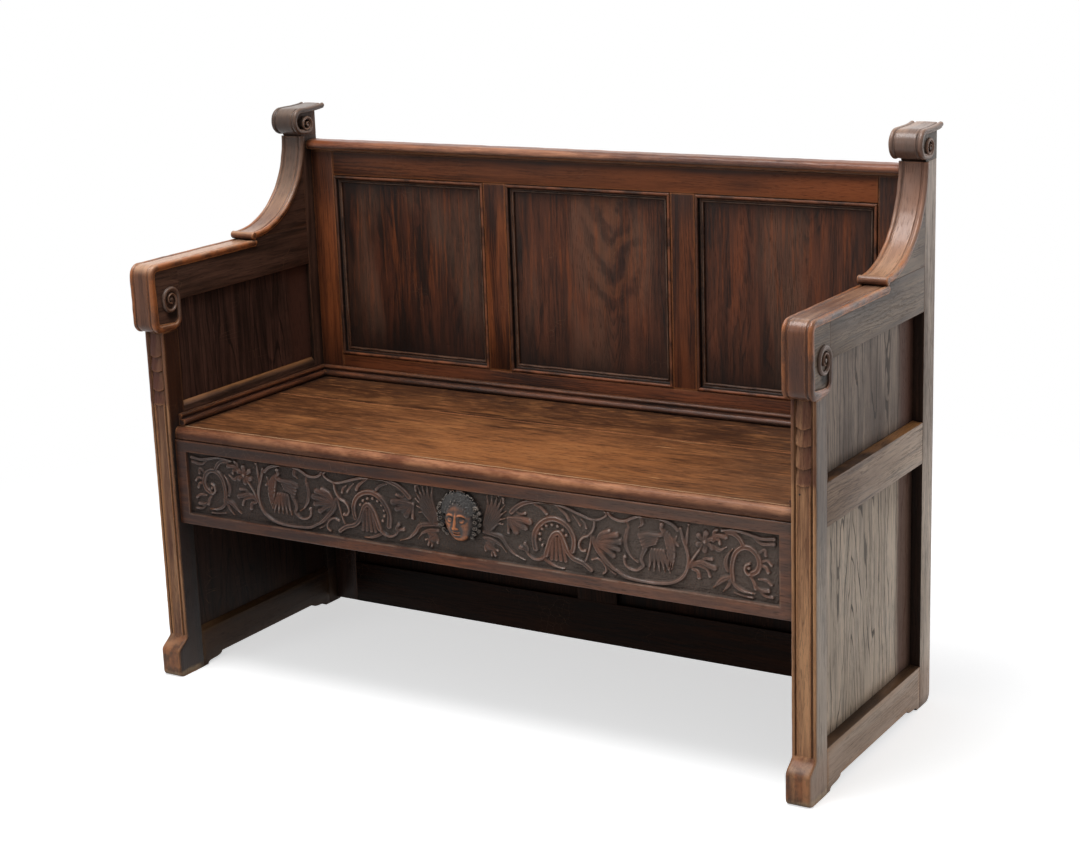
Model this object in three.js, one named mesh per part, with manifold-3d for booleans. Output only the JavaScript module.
// Settle bench in joined oak: two panelled ends with scrolled arms and curved wings, a back of three
// framed panels over two lower ones, a plank seat with a moulded front edge and a sunk frieze below it.
// Millimetres. X runs across, Y from front to back and Z up. While the pieces are drawn, the front faces
// of the stiles lie at y = 0 and the floor at z = 0. The whole is then moved along Y, so that the origin
// lies on the floor under the middle of its box.

import * as THREE from 'three';
import { mergeVertices } from 'three/addons/utils/BufferGeometryUtils.js';
import Module from 'manifold-3d';

const wasm = await Module();
wasm.setup();

// Driving dimensions

const gap = 0.3; // clearance of a seated joint
const overrun = 6; // how far a cutter runs past the face that it cuts

const bench = {
  width: 1234, // over the outer faces of the two ends
  depth: 457, // from the stile fronts to the post backs
  seatHeight: 445,
  armHeight: 729,
  endThick: 40,
};

const joint = {
  groove: 8, // depth of the panel grooves
  tenonLength: 24,
  tenonThick: 10,
  shoulder: 12, // how far a tenon stays inside the edges of its rail
};

const endPanel = {
  thick: 14,
  recess: 18, // from the outer face of the frame to the outer face of the panel
};

const stile = {
  depth: 40,
  bead: 3.2, // radius of the roll along each front corner
  quirkWidth: 2,
  quirkDepth: 2.6,
  crown: 0.8, // how far the middle of the front face stands before its edges
  sink: 1.4, // depth of the plain field below the scales
  innerBead: 2.5,
};

const scale = {
  aboveSeat: 42, // lower edge of the lowest scale
  cut: 3, // how deep each scale starts behind the one above it
  sag: 3.5, // how far the lower edge of a scale curves down
};
// the scales from the lowest up, as shares of the run up to the scroll
const scaleHeightShares = [0.2, 0.265, 0.205, 0.33];

const foot = {
  projection: 23, // how far the foot stands before the stile
  height: 70,
  breast: 46, // height at which its front turns upright
  toe: 9, // radius of the worn lower edge
};

const post = {
  depth: 44,
  heel: 14, // radius of the worn lower back corner
};

const endRail = {
  midAbove: 39, // upper edge of the mid rail above the seat
  midBelow: 30,
  bottomTop: 74,
  ledge: 2, // fall of the outer ledge from the panel to the face
  chamfer: 8, // width of the sloping inner edge
};

const bracket = {
  clearance: 13, // height of the straight underside above the floor
  cuspHeight: 6,
  pad: 12, // length that stands on the floor at each end
  cusp: 24, // from the shoulder to the cusp
  reach: 52, // from the shoulder to the straight underside
};

const capMould = {
  width: 49,
  bead: 4.5, // radius of the roll along each edge
  quirk: 2.4, // depth of the groove beside the roll
  field: 1, // how far the middle lies below the rolls
  undercut: 2.5, // how far the sides lie in under the rolls
};

const armCap = {
  thick: 12,
  kneeThick: 14.5,
  front: 22, // how far the scroll stands before the stile
  rear: 10, // how far it stands behind the stile
  drop: 117, // from the top of the arm to the underside of the scroll
  cornerRadius: 20, // upper front corner
  kneeRadius: 18, // lower front corner
  heelRadius: 20, // lower back corner
};
const armRailHeight = 69; // from the top of the arm to the underside of the rail

const armCoil = {
  rise: 52, // from the underside of the scroll to the centre of the coil
  radius: 22.5,
  eye: 3.2,
};
// radius and thickness of the arm coil at each quarter turn, as shares of its radius and of the cap's
const armCoilRadiusShares = [1, 1, 1, 0.96, 0.6, 0.53, 0.43, 0.33];
const armCoilThickShares = [0.68, 0.62, 0.6, 0.48, 0.34, 0.3, 0.26, 0.2];

const coilSteps = 4; // facets of a quarter turn

const wing = {
  radius: 151, // of the concave upper face of the wing cap
  thick: 10,
  setback: 4, // from the front of the post to the upper end of the cap's face
  lift: 3, // from the top of the arm to the underside of the cap's foot
  heel: 4, // how far the arm cap runs in behind the centre of the wing
  roll: 6.8, // radius of the cross roll at the foot
  rollWidth: 50,
  rollSetback: 2,
};
const wingToeDegrees = 12; // where the wing board starts on the curve

const horn = {
  innerReach: 31, // from the middle of the end to the inner end of the roll
  radius: 24, // front roll
  forward: 6, // centre of the front roll before the front of the post
  lift: 4, // from the top of the post to the underside of the roll
  thick: 9,
  lipReach: 15, // how far the lip stands behind the post
  lipRise: 3,
};
const hornCoil = {
  back: 15, // its centre behind that of the front roll
  radius: 16,
  eye: 2.6,
};
const hornCoilRadiusShares = [1, 1, 1, 0.92, 0.56, 0.5, 0.4, 0.3];
const hornCoilThickShares = [0.8, 0.66, 0.62, 0.55, 0.4, 0.34, 0.28, 0.2];

const back = {
  thick: 18,
  setback: 1, // from the back of the posts
  lift: 5, // lower edge above the floor
  drop: 28, // from the top of the posts to the top of the back
  stileWidth: 48,
  muntinWidth: 45,
  lowerMuntinWidth: 80,
  topRail: 43.5,
  midAbove: 43, // upper edge of the mid rail above the seat
  midBelow: 45,
  bottomRail: 77,
  panelRecess: 9,
  panelThick: 7,
};

const capping = { projection: 14, height: 19, nose: 9, cove: 6 };

const panelMould = {
  width: 14,
  proud: 2, // how far its outer roll stands before the frame
  bead: 3,
  innerBead: 2,
  hollow: 6.5, // depth of the hollow behind the face of the frame
};

const seat = {
  thick: 21,
  setback: 12, // front edge behind the front of the stiles
  thumbWidth: 13, // width of the moulded edge
  thumbDrop: 11, // height of its curved part
  quirk: 1.5,
  arris: 3,
};
const backBoardShare = 0.36; // of the seat's depth

const seatMould = { height: 20, projection: 14, start: 24, bead: 5.5, upperBead: 3.5 };

const frieze = {
  setback: 10,
  thick: 18,
  height: 149,
  fieldDepth: 7,
  endBorder: 23,
  lowerBorder: 19,
  upperBorder: 24,
  slope: 2.5, // width of the sloping edge round the field
};

const mask = {
  rise: 87, // centre above the lower edge of the frieze
  hairWidth: 92,
  hairHeight: 88,
  hairDepth: 13,
  faceWidth: 52,
  faceHeight: 64,
  faceDepth: 25,
  curl: 8,
};
const curlCount = 12;

const bearer = { width: 20, height: 22 };

// Values that follow from the driving dimensions

const half = bench.endThick / 2;
const endCentre = bench.width / 2 - half;
const innerX = bench.width / 2 - bench.endThick; // inner face of an end
const postFront = bench.depth - post.depth;
const panelOuter = half - endPanel.recess; // in the end's own frame, where + points outwards
const panelInner = panelOuter - endPanel.thick;
const midTop = bench.seatHeight + endRail.midAbove;
const midBottom = bench.seatHeight - endRail.midBelow;
const armBottom = bench.armHeight - armRailHeight;
const stileTop = bench.armHeight - armCap.drop;
const scrollBack = stile.depth + armCap.rear;
const wingOuter = wing.radius + wing.thick;
const wingY = postFront - wing.setback - wing.radius; // centre of the wing's curve
const wingZ = bench.armHeight + wing.lift + wingOuter;
const armEnd = wingY + wing.heel;
const railTop = bench.armHeight - armCap.thick - gap; // under the arm cap
const railHeel = wingZ - wingOuter - gap; // under the wing
const hornY = postFront - horn.forward;
const hornZ = wingZ + horn.lift + horn.radius;
const backTop = wingZ - back.drop;
const backFront = bench.depth - back.setback - back.thick;
const backPanelFront = backFront + back.panelRecess;
const backPanelBack = backPanelFront + back.panelThick;
const seatUnder = bench.seatHeight - seat.thick;
const friezeBottom = seatUnder - frieze.height;
const fieldFloor = frieze.setback + frieze.fieldDepth;

// Solids

function solidOf(geometry) {
  const plain = geometry.clone();
  plain.deleteAttribute('normal');
  plain.deleteAttribute('uv');
  const merged = mergeVertices(plain, gap / 1000);
  return new wasm.Manifold(new wasm.Mesh({
    numProp: 3,
    vertProperties: new Float32Array(merged.attributes.position.array),
    triVerts: new Uint32Array(merged.index.array),
  }));
}

function geometryOf(solid) {
  const mesh = solid.getMesh();
  const geometry = new THREE.BufferGeometry();
  geometry.setAttribute('position', new THREE.BufferAttribute(mesh.vertProperties, 3));
  geometry.setIndex(new THREE.BufferAttribute(mesh.triVerts, 1));
  return geometry;
}

function joined(first, ...others) {
  return others.reduce((solid, other) => solid.add(other), first);
}

function cut(first, ...cutters) {
  return cutters.reduce((solid, cutter) => solid.subtract(cutter), first);
}

// a block between two opposite corners
function block([x0, y0, z0], [x1, y1, z1]) {
  const geometry = new THREE.BoxGeometry(x1 - x0, y1 - y0, z1 - z0);
  geometry.translate((x0 + x1) / 2, (y0 + y1) / 2, (z0 + z1) / 2);
  return solidOf(geometry);
}

// groove or mortise for a block between the same corners, with the clearance round it
function socket([x0, y0, z0], [x1, y1, z1]) {
  return block([x0 - gap, y0 - gap, z0 - gap], [x1 + gap, y1 + gap, z1 + gap]);
}

const unitX = new THREE.Vector3(1, 0, 0);
const unitY = new THREE.Vector3(0, 1, 0);
const unitZ = new THREE.Vector3(0, 0, 1);
const frames = {
  x: new THREE.Matrix4().makeBasis(unitY, unitZ, unitX),
  y: new THREE.Matrix4().makeBasis(unitZ, unitX, unitY),
  z: new THREE.Matrix4(),
};

// A length of one section, given as [y, z] along x, [x, z] along y and [x, y] along z.
function prism(section, from, to, axis) {
  const points = section.map(([a, b]) => (axis === 'y' ? new THREE.Vector2(b, a) : new THREE.Vector2(a, b)));
  const geometry = new THREE.ExtrudeGeometry(new THREE.Shape(points), {
    depth: to - from,
    bevelEnabled: false,
  });
  geometry.translate(0, 0, from);
  geometry.applyMatrix4(frames[axis]);
  return solidOf(geometry);
}

// points on an arc, from one angle in degrees to another
function arc(centreA, centreB, radius, fromDegrees, toDegrees, steps) {
  return Array.from({ length: steps + 1 }, (_, i) => {
    const angle = THREE.MathUtils.degToRad(fromDegrees + ((toDegrees - fromDegrees) * i) / steps);
    return [centreA + radius * Math.cos(angle), centreB + radius * Math.sin(angle)];
  });
}

// points on a curve with one or two control points
function bend(steps, ...controls) {
  const points = controls.map(([a, b]) => new THREE.Vector2(a, b));
  const Curve = points.length === 3 ? THREE.QuadraticBezierCurve : THREE.CubicBezierCurve;
  return new Curve(...points).getPoints(steps).map((p) => [p.x, p.y]);
}

function mirroredSection(side) {
  return side.map(([a, b]) => [-a, b]).reverse();
}

// Sweeps: a section carried along points [y, z, thickness] of an outer surface, whose outward side is on
// the right of the way they run. The section's first value runs across, its second along the normal.
function sweep(section, thick, path, offset = 0) {
  const count = section.length;
  const positions = path.flatMap(([y, z, depth], i) => {
    const [y0, z0] = path[Math.max(i - 1, 0)];
    const [y1, z1] = path[Math.min(i + 1, path.length - 1)];
    const normal = new THREE.Vector2(z1 - z0, y0 - y1).normalize();
    return section.flatMap(([across, out]) => {
      const scaled = (out * depth) / thick;
      return [across + offset, y + normal.x * scaled, z + normal.y * scaled];
    });
  });
  const indices = [];
  for (let i = 0; i + 1 < path.length; i += 1) {
    for (let j = 0; j < count; j += 1) {
      const a = i * count + j;
      const b = i * count + ((j + 1) % count);
      indices.push(a, b, a + count, b, b + count, a + count);
    }
  }
  const last = (path.length - 1) * count;
  const outline = section.map(([across, out]) => new THREE.Vector2(across, out));
  THREE.ShapeUtils.triangulateShape(outline, []).forEach(([a, b, c]) => {
    indices.push(a, c, b, last + a, last + b, last + c);
  });
  const geometry = new THREE.BufferGeometry();
  geometry.setAttribute('position', new THREE.Float32BufferAttribute(positions, 3));
  geometry.setIndex(indices);
  return solidOf(geometry);
}

// A coil's radius and thickness pass smoothly through their values at each quarter turn.
function coil(centreY, centreZ, radii, thicks, fromDegrees) {
  const radiusCurve = new THREE.SplineCurve(radii.map((r, i) => new THREE.Vector2(i, r)));
  const thickCurve = new THREE.SplineCurve(thicks.map((t, i) => new THREE.Vector2(i, t)));
  const steps = (radii.length - 1) * coilSteps;
  return Array.from({ length: steps + 1 }, (_, i) => {
    const angle = THREE.MathUtils.degToRad(fromDegrees + (i * 90) / coilSteps);
    const radius = radiusCurve.getPoint(i / steps).y;
    const thick = thickCurve.getPoint(i / steps).y;
    return [centreY + radius * Math.cos(angle), centreZ + radius * Math.sin(angle), thick];
  });
}

function thickened(points, thick) {
  return points.map(([y, z]) => [y, z, thick]);
}

// Moulded section of the cappings: a flat field between two grooves, with a roll along each edge.
function cappingSection(width, thick) {
  const { bead, quirk, field, undercut } = capMould;
  const edge = width / 2;
  const side = [
    [edge - undercut, -thick],
    ...arc(edge - bead, -bead, bead, -60, 120, 5),
    [edge - 2 * bead, -field - quirk],
    [edge - 2 * bead - quirk, -field],
  ];
  return [...side, ...mirroredSection(side)];
}

// Joints of the ends, in the end's own frame: x = 0 in the middle of its thickness, + outwards

const panelFront = stile.depth - joint.groove;
const panelBack = postFront + joint.groove;
const upperPanelBox = [
  [panelInner, panelFront, midTop - joint.groove],
  [panelOuter, panelBack, armBottom + joint.groove],
];
const lowerPanelBox = [
  [panelInner, panelFront, endRail.bottomTop - joint.groove],
  [panelOuter, panelBack, midBottom + joint.groove],
];

// tenon from a shoulder at y, forwards (-1) or backwards (1), on the plane of the panels
function tenonBox(shoulderY, direction, bottom, top) {
  const ends = [shoulderY + direction * joint.tenonLength, shoulderY - direction * joint.groove];
  const middle = (panelInner + panelOuter) / 2;
  return [
    [middle - joint.tenonThick / 2, Math.min(...ends), bottom + joint.shoulder],
    [middle + joint.tenonThick / 2, Math.max(...ends), top - joint.shoulder],
  ];
}

const midTenons = [
  tenonBox(stile.depth, -1, midBottom, midTop),
  tenonBox(postFront, 1, midBottom, midTop),
];
const bottomTenons = [
  tenonBox(stile.depth, -1, bracket.clearance, endRail.bottomTop),
  tenonBox(postFront, 1, bracket.clearance, endRail.bottomTop),
];
const armTenons = [
  tenonBox(scrollBack, -1, armBottom, railTop),
  tenonBox(postFront, 1, armBottom, railTop),
];
const stileTenonBox = [
  [-joint.tenonThick, joint.shoulder, stileTop - joint.groove],
  [joint.tenonThick, stile.depth - joint.shoulder, stileTop + joint.tenonLength],
];
const postTenonBox = [
  [-joint.tenonThick, bench.depth - 2 * joint.shoulder, wingZ - joint.groove],
  [joint.tenonThick, bench.depth - joint.shoulder, wingZ + joint.shoulder],
];
const wingTongueBox = [
  [-joint.tenonThick / 2, postFront - joint.groove, railHeel + joint.shoulder],
  [joint.tenonThick / 2, postFront + joint.groove, wingZ - wingOuter / 2],
];
const friezeTenonBox = [
  [-half - joint.groove, frieze.setback + frieze.slope, friezeBottom + joint.shoulder],
  [-half + joint.groove, fieldFloor + frieze.slope, seatUnder - joint.shoulder],
];
const backTongueBox = [
  [-half - joint.groove, backPanelFront, back.lift],
  [-half + joint.groove, backPanelBack, backTop],
];

// Pieces of the ends

function frontStile() {
  const { bead, quirkWidth, quirkDepth, crown, depth, sink, innerBead } = stile;
  const fieldHalf = half - 2 * bead - quirkWidth;
  const side = [
    [half, depth],
    ...arc(half - bead, crown + bead, bead, 0, -150, 5),
    [half - 2 * bead - quirkWidth / 2, crown + quirkDepth],
    [fieldHalf, crown],
  ];
  const shaft = prism([...side, [0, 0], ...mirroredSection(side)], foot.breast, stileTop - gap, 'z');
  const scaleBottom = bench.seatHeight + scale.aboveSeat;
  const scales = [];
  let lower = scaleBottom;
  scaleHeightShares.forEach((share) => {
    const upper = lower + share * (stileTop - scaleBottom);
    const outline = [
      ...bend(6, [-fieldHalf, upper], [0, upper - 2 * scale.sag], [fieldHalf, upper]),
      ...bend(6, [fieldHalf, lower], [0, lower - 2 * scale.sag], [-fieldHalf, lower]),
    ];
    const slope = [
      [-overrun, lower - scale.sag],
      [0, lower - scale.sag],
      [crown + scale.cut, upper],
      [-overrun, upper],
    ];
    scales.push(prism(outline, -overrun, half, 'y').intersect(prism(slope, -half, half, 'x')));
    lower = upper;
  });
  const sunkHalf = fieldHalf - innerBead;
  const plainField = [
    ...bend(6, [-sunkHalf, scaleBottom], [0, scaleBottom - 2 * scale.sag], [sunkHalf, scaleBottom]),
    [sunkHalf, foot.height],
    [-sunkHalf, foot.height],
  ];
  const ogeeMiddle = (foot.breast + foot.height) / 2;
  const footSide = [
    [depth, 0],
    ...arc(foot.toe - foot.projection, foot.toe, foot.toe, -90, -180, 4),
    ...bend(
      8,
      [-foot.projection, foot.breast],
      [-foot.projection, ogeeMiddle],
      [crown, ogeeMiddle],
      [crown, foot.height],
    ),
    [depth, foot.height],
  ];
  return cut(
    joined(
      cut(shaft, ...scales, prism(plainField, -overrun, crown + sink, 'y')),
      prism(footSide, -half, half, 'x'),
      block(...stileTenonBox),
    ),
    socket(...upperPanelBox),
    socket(...lowerPanelBox),
    socket(...midTenons[0]),
    socket(...bottomTenons[0]),
    socket(...friezeTenonBox),
  );
}

function backPost() {
  const side = [
    [postFront, 0],
    ...arc(bench.depth - post.heel, post.heel, post.heel, -90, 0, 4),
    [bench.depth, wingZ],
    [postFront, wingZ],
  ];
  const wingCurve = arc(wingY, wingZ, wingOuter + gap, 0, 360, 96).slice(1);
  return cut(
    joined(
      cut(prism(side, -half, half, 'x'), prism(wingCurve, -bench.endThick, bench.endThick, 'x')),
      block(...postTenonBox),
    ),
    socket(...upperPanelBox),
    socket(...lowerPanelBox),
    socket(...midTenons[1]),
    socket(...bottomTenons[1]),
    socket(...armTenons[1]),
    socket(...wingTongueBox),
    socket(...backTongueBox),
  );
}

// section of a rail with a panel standing in its upper edge
function ledgedSection(bottom, top) {
  return [
    [-half, bottom],
    [half, bottom],
    [half, top - endRail.ledge],
    [panelOuter, top],
    [panelInner, top],
    [-half, top - endRail.chamfer],
  ];
}

function endMidRail() {
  const rail = prism(ledgedSection(midBottom, midTop), stile.depth + gap, postFront - gap, 'y');
  return cut(
    joined(rail, ...midTenons.map((box) => block(...box))),
    socket(...upperPanelBox),
    socket(...lowerPanelBox),
  );
}

function endBottomRail() {
  const { clearance, cuspHeight, pad, cusp, reach } = bracket;
  const profile = [
    [pad, -overrun],
    ...bend(4, [pad, 0], [pad, cuspHeight], [cusp, cuspHeight]),
    ...bend(4, [cusp, cuspHeight], [reach, cuspHeight], [reach, clearance]).slice(1),
  ];
  const underside = [
    ...profile.map(([d, z]) => [stile.depth + d, z]),
    ...profile.map(([d, z]) => [postFront - d, z]).reverse(),
  ];
  const rail = prism(ledgedSection(0, endRail.bottomTop), stile.depth + gap, postFront - gap, 'y');
  return cut(
    joined(
      cut(rail, prism(underside, -bench.endThick, bench.endThick, 'x')),
      ...bottomTenons.map((box) => block(...box)),
    ),
    socket(...lowerPanelBox),
  );
}

function armRail() {
  const side = [
    [scrollBack + gap, armBottom],
    [postFront - gap, armBottom],
    [postFront - gap, railHeel],
    [armEnd + gap, railHeel],
    [armEnd + gap, railTop],
    [scrollBack + gap, railTop],
  ];
  return cut(
    joined(prism(side, -half, half, 'x'), ...armTenons.map((box) => block(...box))),
    socket(...upperPanelBox),
  );
}

function wingBoard() {
  const upper = wingOuter + gap;
  const end = THREE.MathUtils.radToDeg(Math.asin((postFront - gap - wingY) / upper));
  const curve = arc(wingY, wingZ, upper, wingToeDegrees - 90, end - 90, 14);
  const [toeY] = curve[0];
  const side = [
    ...curve,
    [postFront - gap, railHeel + gap],
    [toeY, railHeel + gap],
  ];
  return joined(prism(side, -half, half, 'x'), block(...wingTongueBox));
}

function armCapping() {
  const { thick, kneeThick, front, cornerRadius, kneeRadius, heelRadius } = armCap;
  const coilY = scrollBack - armCoil.radius;
  const coilZ = stileTop + armCoil.rise;
  const top = bench.armHeight;
  const path = [
    [armEnd, top, thick],
    ...thickened(arc(cornerRadius - front, top - cornerRadius, cornerRadius, 90, 180, 6), thick),
    ...thickened(arc(kneeRadius - front, stileTop + kneeRadius, kneeRadius, 180, 270, 6), kneeThick),
    ...thickened(arc(scrollBack - heelRadius, stileTop + heelRadius, heelRadius, 270, 360, 6), thick),
    ...coil(
      coilY,
      coilZ,
      armCoilRadiusShares.map((share) => share * armCoil.radius),
      armCoilThickShares.map((share) => share * thick),
      0,
    ),
  ];
  const inset = thick / 2;
  const core = [
    [scrollBack, top - inset],
    ...arc(cornerRadius - front, top - cornerRadius, cornerRadius - inset, 90, 180, 4),
    ...arc(kneeRadius - front, stileTop + kneeRadius, kneeRadius - inset, 180, 270, 4),
    ...arc(scrollBack - heelRadius, stileTop + heelRadius, heelRadius - inset, 270, 360, 4),
    [scrollBack - inset, coilZ],
    [scrollBack, coilZ],
  ];
  const reach = capMould.width / 2;
  return cut(
    joined(
      sweep(cappingSection(capMould.width, thick), thick, path),
      prism(core, -half, half, 'x'),
      prism(arc(coilY, coilZ, armCoil.eye, 0, 330, 11), -reach, reach, 'x'),
    ),
    socket(...stileTenonBox),
    socket(...armTenons[0]),
    socket(...upperPanelBox),
  );
}

function wingCapping() {
  const path = thickened(arc(wingY, wingZ, wing.radius, 0, -90, 20), wing.thick);
  const rollZ = bench.armHeight + gap + wing.roll;
  const reach = wing.rollWidth / 2;
  return joined(
    sweep(cappingSection(capMould.width, wing.thick), wing.thick, path),
    prism(arc(wingY - wing.rollSetback, rollZ, wing.roll, 0, 330, 11), -reach, reach, 'x'),
  );
}

function topScroll() {
  const { innerReach, radius, thick, lipReach, lipRise } = horn;
  const outerReach = capMould.width / 2;
  const width = innerReach + outerReach;
  const offset = (outerReach - innerReach) / 2;
  const coilY = hornY + hornCoil.back;
  const coilZ = hornZ - radius + hornCoil.radius;
  const top = hornZ + radius;
  const lip = bend(5, [bench.depth + lipReach, top + lipRise], [bench.depth, top], [coilY, top]);
  const path = [
    ...thickened(lip, thick),
    ...thickened(arc(hornY, hornZ, radius, 90, 270, 12), thick),
    ...coil(
      coilY,
      coilZ,
      hornCoilRadiusShares.map((share) => share * hornCoil.radius),
      hornCoilThickShares.map((share) => share * thick),
      270,
    ),
  ];
  const inset = thick / 2;
  const web = [
    [postFront, wingZ + gap],
    [bench.depth, wingZ + gap],
    [bench.depth, top - inset],
    ...arc(hornY, hornZ, radius - inset, 90, 270, 8),
  ];
  return cut(
    joined(
      sweep(cappingSection(width, thick), thick, path, offset),
      prism(web, -half, half, 'x'),
      prism(arc(coilY, coilZ, hornCoil.eye, 0, 330, 11), -innerReach, outerReach, 'x'),
    ),
    socket(...postTenonBox),
  );
}

// Pieces of the back. Grooves, stub tenons and panels share one plane.

const frameHalf = innerX - back.stileWidth; // inner edges of the end stiles
const topRailBottom = backTop - back.topRail;
const backMidTop = bench.seatHeight + back.midAbove;
const backMidBottom = bench.seatHeight - back.midBelow;
const bottomRailTop = back.lift + back.bottomRail;
const openingWidth = (2 * frameHalf - 2 * back.muntinWidth) / 3;
const openingHeight = topRailBottom - backMidTop;

function backBlock(x0, x1, z0, z1) {
  return block([x0, backFront, z0], [x1, backFront + back.thick, z1]);
}

// what stands in the grooves between these edges
function inPlane(x0, x1, z0, z1) {
  return [[x0, backPanelFront, z0], [x1, backPanelBack, z1]];
}

function backRail(bottom, top, tenon, ...grooves) {
  const reach = frameHalf + joint.tenonLength;
  return cut(
    joined(
      backBlock(-frameHalf + gap, frameHalf - gap, bottom, top),
      block(...inPlane(-reach, reach, ...tenon)),
    ),
    ...grooves.map((groove) => socket(...inPlane(-frameHalf, frameHalf, ...groove))),
  );
}

const railTenons = {
  top: [topRailBottom + joint.shoulder, backTop - joint.shoulder],
  mid: [backMidBottom + joint.shoulder, backMidTop - joint.shoulder],
  bottom: [back.lift + joint.shoulder, bottomRailTop - joint.shoulder],
};

function backStile() {
  const start = frameHalf - overrun;
  const mortiseEnd = frameHalf + joint.tenonLength;
  const grooveEnd = frameHalf + joint.groove;
  const outer = innerX - gap;
  return cut(
    joined(
      backBlock(frameHalf, outer, back.lift, backTop),
      block(...inPlane(outer - joint.groove / 2, innerX + joint.groove, back.lift, backTop)),
    ),
    ...Object.values(railTenons).map((tenon) => socket(...inPlane(start, mortiseEnd, ...tenon))),
    socket(...inPlane(start, grooveEnd, backMidTop - joint.groove, topRailBottom + joint.groove)),
    socket(...inPlane(start, grooveEnd, bottomRailTop - joint.groove, backMidBottom + joint.groove)),
  );
}

// an upright between two rails, drawn about x = 0, with grooves in both edges and stub tenons
function backMuntin(width, bottom, top) {
  const edge = width / 2;
  const web = edge - joint.groove;
  return joined(
    cut(
      backBlock(-edge, edge, bottom + gap, top - gap),
      socket(...inPlane(-edge - overrun, -web, bottom - overrun, top + overrun)),
      socket(...inPlane(web, edge + overrun, bottom - overrun, top + overrun)),
    ),
    block(...inPlane(2 * gap - web, web - 2 * gap, bottom - joint.groove, top + joint.groove)),
  );
}

function backPanel(width, bottom, top) {
  const reach = width / 2 + joint.groove;
  return block(...inPlane(-reach, reach, bottom - joint.groove, top + joint.groove));
}

function backCapping() {
  const { projection, height, nose, cove } = capping;
  const bottom = backTop + gap;
  const section = [
    [backFront + back.thick, bottom],
    [backFront + back.thick, bottom + height],
    ...arc(backFront - projection + nose, bottom + height - nose, nose, 90, 225, 6),
    ...bend(4, [backFront - cove, bottom + cove], [backFront, bottom + cove], [backFront, bottom]),
  ];
  return prism(section, gap - innerX, innerX - gap, 'x');
}

// A length of moulding along x. Its section is [distance from the wall, height], and a mitred end
// shrinks with the distance from the wall.
function mitredLength(section, length, leftMitre, rightMitre) {
  const shape = new THREE.Shape(section.map(([a, b]) => new THREE.Vector2(a, b)));
  const geometry = new THREE.ExtrudeGeometry(shape, { depth: length, bevelEnabled: false });
  geometry.translate(0, 0, -length / 2);
  const points = geometry.attributes.position;
  for (let i = 0; i < points.count; i += 1) {
    const along = points.getZ(i);
    const mitred = along < 0 ? leftMitre : rightMitre;
    const shrink = mitred ? points.getX(i) + gap : gap;
    points.setZ(i, along - Math.sign(along) * shrink);
  }
  geometry.applyMatrix4(frames.x);
  return geometryOf(solidOf(geometry));
}

// along the lower edge of an opening, with its width upwards and its face to the front
function panelMoulding(length) {
  const { width, proud, bead, innerBead, hollow } = panelMould;
  const floor = gap - back.panelRecess;
  const section = [
    [gap, floor],
    ...arc(gap + bead, proud - bead, bead, 180, 0, 5),
    [2 * bead + innerBead / 2, -hollow],
    ...arc(width - innerBead, floor + innerBead, innerBead, 150, 0, 4),
    [width, floor],
  ];
  const geometry = mitredLength(section, length, true, true);
  geometry.rotateX(Math.PI / 2);
  return geometry;
}

// two rolls, the larger one below, with the wall in front of them
function seatMoulding(length, leftMitre, rightMitre) {
  const { height, projection, bead, upperBead } = seatMould;
  const section = [
    [gap, 0],
    ...arc(projection - bead, bead, bead, -90, 90, 6),
    [upperBead, 2 * bead],
    ...arc(upperBead, height - upperBead, upperBead, -60, 90, 5),
    [gap, height],
  ];
  return mitredLength(section, length, leftMitre, rightMitre);
}

// Seat and frieze

const seatSplit = backFront - backBoardShare * (backFront - seat.setback);

function seatFrontBoard() {
  const { setback, thumbWidth, thumbDrop, quirk, arris } = seat;
  const top = bench.seatHeight;
  const quirkY = setback + thumbWidth;
  const section = [
    [seatSplit - gap, seatUnder],
    [seatSplit - gap, top],
    [quirkY, top],
    [quirkY - quirk, top - quirk],
    ...bend(6, [quirkY - 2 * quirk, top], [setback, top], [setback, top - thumbDrop]),
    [setback, seatUnder + arris],
    [setback + arris, seatUnder],
  ];
  return prism(section, gap - innerX, innerX - gap, 'x');
}

function seatBackBoard() {
  return block([gap - innerX, seatSplit, seatUnder], [innerX - gap, backFront - gap, bench.seatHeight]);
}

// cutter for the sunk field, wider at the front so that its edges slope
function fieldCutter() {
  const { setback, fieldDepth, endBorder, lowerBorder, upperBorder, slope } = frieze;
  const reach = innerX - endBorder;
  const spread = slope + (slope * overrun) / fieldDepth;
  const cutter = new THREE.BoxGeometry();
  const points = cutter.attributes.position;
  for (let i = 0; i < points.count; i += 1) {
    const front = points.getY(i) < 0;
    const side = Math.sign(points.getX(i));
    const level = Math.sign(points.getZ(i));
    const edge = level > 0 ? seatUnder - upperBorder : friezeBottom + lowerBorder;
    points.setX(i, side * (front ? reach + spread : reach));
    points.setZ(i, front ? edge + level * spread : edge);
    points.setY(i, front ? setback - overrun : fieldFloor);
  }
  return solidOf(cutter);
}

function friezeRail() {
  const { setback, thick } = frieze;
  const board = block([gap - innerX, setback, friezeBottom], [innerX - gap, setback + thick, seatUnder - gap]);
  const [[x0, y0, z0], [x1, y1, z1]] = friezeTenonBox;
  return joined(
    cut(board, fieldCutter()),
    block([endCentre + x0, y0, z0], [endCentre + x1, y1, z1]),
    block([-endCentre - x1, y0, z0], [-endCentre - x0, y1, z1]),
  );
}

// half of an ellipsoid stands before the field, and the other half is cut away behind
function dome(width, depth, height, columns, rows) {
  const geometry = new THREE.SphereGeometry(1, columns, rows);
  geometry.rotateX(Math.PI / 2);
  geometry.scale(width / 2, depth, height / 2);
  return solidOf(geometry);
}

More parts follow.
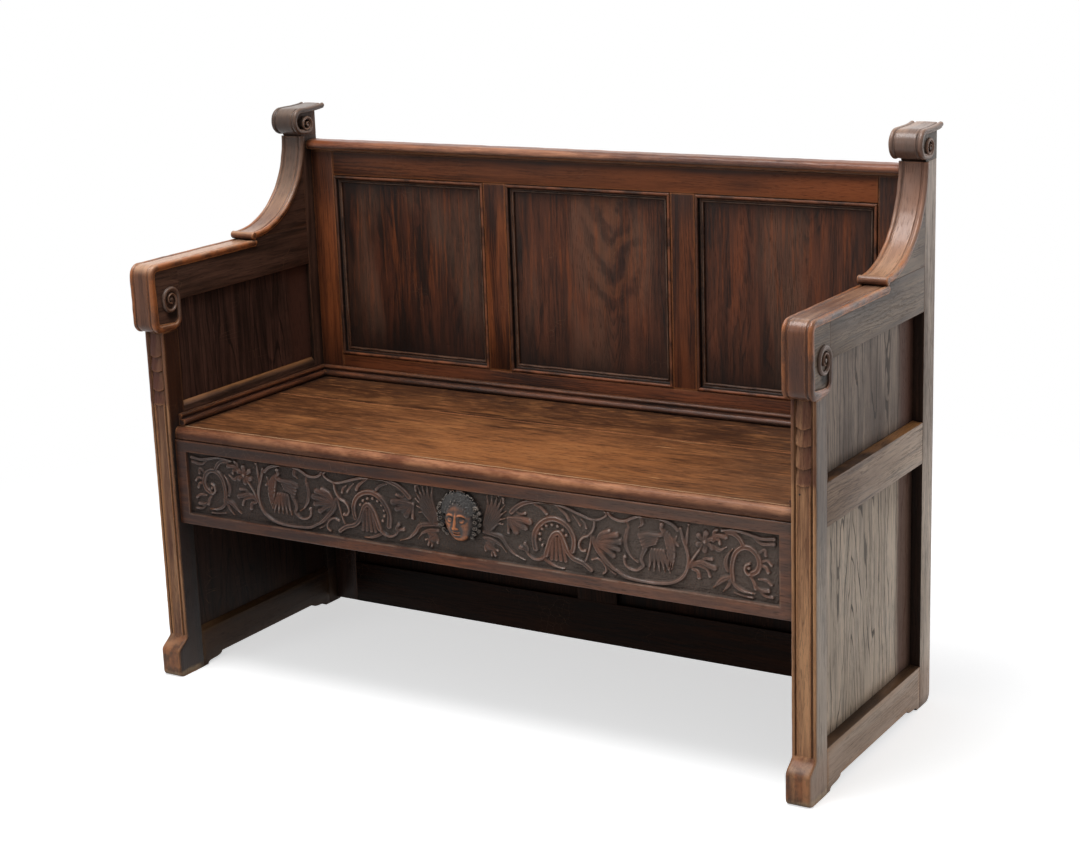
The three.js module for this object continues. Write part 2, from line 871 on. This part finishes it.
function friezeMask() {
  const { hairWidth, hairHeight, hairDepth, faceWidth, faceHeight, faceDepth, curl } = mask;
  const curls = Array.from({ length: curlCount }, (_, i) => {
    const angle = (2 * Math.PI * i) / curlCount;
    const x = (hairWidth / 2 - curl) * Math.cos(angle);
    const z = (hairHeight / 2 - curl) * Math.sin(angle);
    return dome(2 * curl, hairDepth, 2 * curl, 10, 8).translate(x, 0, z);
  });
  const floor = fieldFloor - gap;
  const border = seatUnder - frieze.upperBorder - gap;
  const head = joined(
    dome(hairWidth - 2 * curl, hairDepth, hairHeight - 2 * curl, 24, 12),
    dome(faceWidth, faceDepth, faceHeight, 24, 14),
    ...curls,
  ).translate(0, floor, friezeBottom + mask.rise);
  return cut(
    head,
    block([-innerX, floor, 0], [innerX, bench.depth, bench.seatHeight]),
    block([-innerX, frieze.setback - gap, border], [innerX, bench.depth, bench.seatHeight]),
  );
}

// Assembly

const finishes = {
  frame: { color: 0x4a2c1b, roughness: 0.42 },
  worn: { color: 0x6e4526, roughness: 0.5 },
  panel: { color: 0x3d2417, roughness: 0.45 },
  seat: { color: 0x70492c, roughness: 0.38 },
  trim: { color: 0x39211a, roughness: 0.4 },
  carved: { color: 0x33241b, roughness: 0.5 },
  hidden: { color: 0x5d4630, roughness: 0.8 },
};

const settle = new THREE.Group();
settle.position.y = (foot.projection - bench.depth - horn.lipReach) / 2;

function place(parent, name, shape, finish, x = 0, y = 0, z = 0) {
  const geometry = shape.isBufferGeometry ? shape : geometryOf(shape);
  const material = new THREE.MeshStandardMaterial({ ...finishes[finish], metalness: 0, flatShading: true });
  const mesh = new THREE.Mesh(geometry, material);
  mesh.name = name;
  mesh.position.set(x, y, z);
  parent.add(mesh);
  return mesh;
}

function mirrored(geometry) {
  const other = geometry.clone();
  other.scale(-1, 1, 1);
  const index = other.index.array;
  for (let i = 0; i < index.length; i += 3) {
    [index[i], index[i + 1]] = [index[i + 1], index[i]];
  }
  return other;
}

const endPieces = {
  front_stile: [frontStile(), 'worn'],
  back_post: [backPost(), 'frame'],
  arm_rail: [armRail(), 'frame'],
  mid_rail: [endMidRail(), 'frame'],
  bottom_rail: [endBottomRail(), 'frame'],
  upper_panel: [block(...upperPanelBox), 'panel'],
  lower_panel: [block(...lowerPanelBox), 'panel'],
  wing_board: [wingBoard(), 'frame'],
  arm_cap: [armCapping(), 'trim'],
  wing_cap: [wingCapping(), 'trim'],
  top_scroll: [topScroll(), 'trim'],
};
const backStileGeometry = geometryOf(backStile());
const sideBearer = geometryOf(block(
  [-bearer.width, frieze.setback + frieze.thick + gap, seatUnder - gap - bearer.height],
  [-gap, postFront, seatUnder - gap],
));

[['left', -1], ['right', 1]].forEach(([side, sign]) => {
  const handed = (geometry) => (sign > 0 ? geometry : mirrored(geometry));
  const end = new THREE.Group();
  end.position.x = sign * endCentre;
  settle.add(end);
  Object.entries(endPieces).forEach(([piece, [solid, finish]]) => {
    place(end, `${side}_${piece}`, handed(geometryOf(solid)), finish);
  });
  place(settle, `back_stile_${side}`, handed(backStileGeometry), 'frame');
  place(settle, `seat_bearer_${side}`, handed(sideBearer), 'hidden', sign * innerX);
  const muntin = backMuntin(back.muntinWidth, backMidTop, topRailBottom);
  place(settle, `back_muntin_${side}`, muntin, 'frame', (sign * (openingWidth + back.muntinWidth)) / 2);
  const lowerEdge = back.lowerMuntinWidth / 2;
  const lowerPanel = backPanel(frameHalf - lowerEdge, bottomRailTop, backMidBottom);
  place(settle, `back_lower_panel_${side}`, lowerPanel, 'panel', (sign * (frameHalf + lowerEdge)) / 2);
});

place(settle, 'back_top_rail', backRail(
  topRailBottom,
  backTop,
  railTenons.top,
  [topRailBottom - overrun, topRailBottom + joint.groove],
), 'frame');
place(settle, 'back_mid_rail', backRail(
  backMidBottom,
  backMidTop,
  railTenons.mid,
  [backMidBottom - overrun, backMidBottom + joint.groove],
  [backMidTop - joint.groove, backMidTop + overrun],
), 'frame');
place(settle, 'back_bottom_rail', backRail(
  back.lift,
  bottomRailTop,
  railTenons.bottom,
  [bottomRailTop - joint.groove, bottomRailTop + overrun],
), 'frame');
place(settle, 'back_lower_muntin', backMuntin(back.lowerMuntinWidth, bottomRailTop, backMidBottom), 'frame');
place(settle, 'back_capping', backCapping(), 'trim');

['left', 'centre', 'right'].forEach((column, i) => {
  const x = (i - 1) * (openingWidth + back.muntinWidth);
  const z = (topRailBottom + backMidTop) / 2;
  place(settle, `back_panel_${column}`, backPanel(openingWidth, backMidTop, topRailBottom), 'panel', x);
  [
    ['bottom', openingWidth, openingHeight / 2, 0],
    ['right', openingHeight, openingWidth / 2, -Math.PI / 2],
    ['top', openingWidth, openingHeight / 2, Math.PI],
    ['left', openingHeight, openingWidth / 2, Math.PI / 2],
  ].forEach(([edge, length, reach, turn]) => {
    const moulding = place(settle, `panel_moulding_${column}_${edge}`, panelMoulding(length), 'trim');
    moulding.rotation.y = turn;
    moulding.position.set(x - reach * Math.sin(turn), backFront, z - reach * Math.cos(turn));
  });
});

const sideMouldLength = backFront - seatMould.start;
const sideMouldY = (backFront + seatMould.start) / 2;
[
  ['back', seatMoulding(2 * innerX, true, true), 0, backFront, Math.PI],
  ['left', seatMoulding(sideMouldLength, true, false), -innerX, sideMouldY, -Math.PI / 2],
  ['right', seatMoulding(sideMouldLength, false, true), innerX, sideMouldY, Math.PI / 2],
].forEach(([edge, geometry, x, y, turn]) => {
  const z = bench.seatHeight + gap;
  place(settle, `seat_moulding_${edge}`, geometry, 'trim', x, y, z).rotation.z = turn;
});

place(settle, 'seat_front_board', seatFrontBoard(), 'seat');
place(settle, 'seat_back_board', seatBackBoard(), 'seat');
place(settle, 'frieze_rail', friezeRail(), 'carved');
place(settle, 'frieze_mask', friezeMask(), 'carved');
place(settle, 'seat_bearer_back', block(
  [gap - innerX, backFront - bearer.width, seatUnder - gap - bearer.height],
  [innerX - gap, backFront - gap, seatUnder - gap],
), 'hidden');

export default settle;
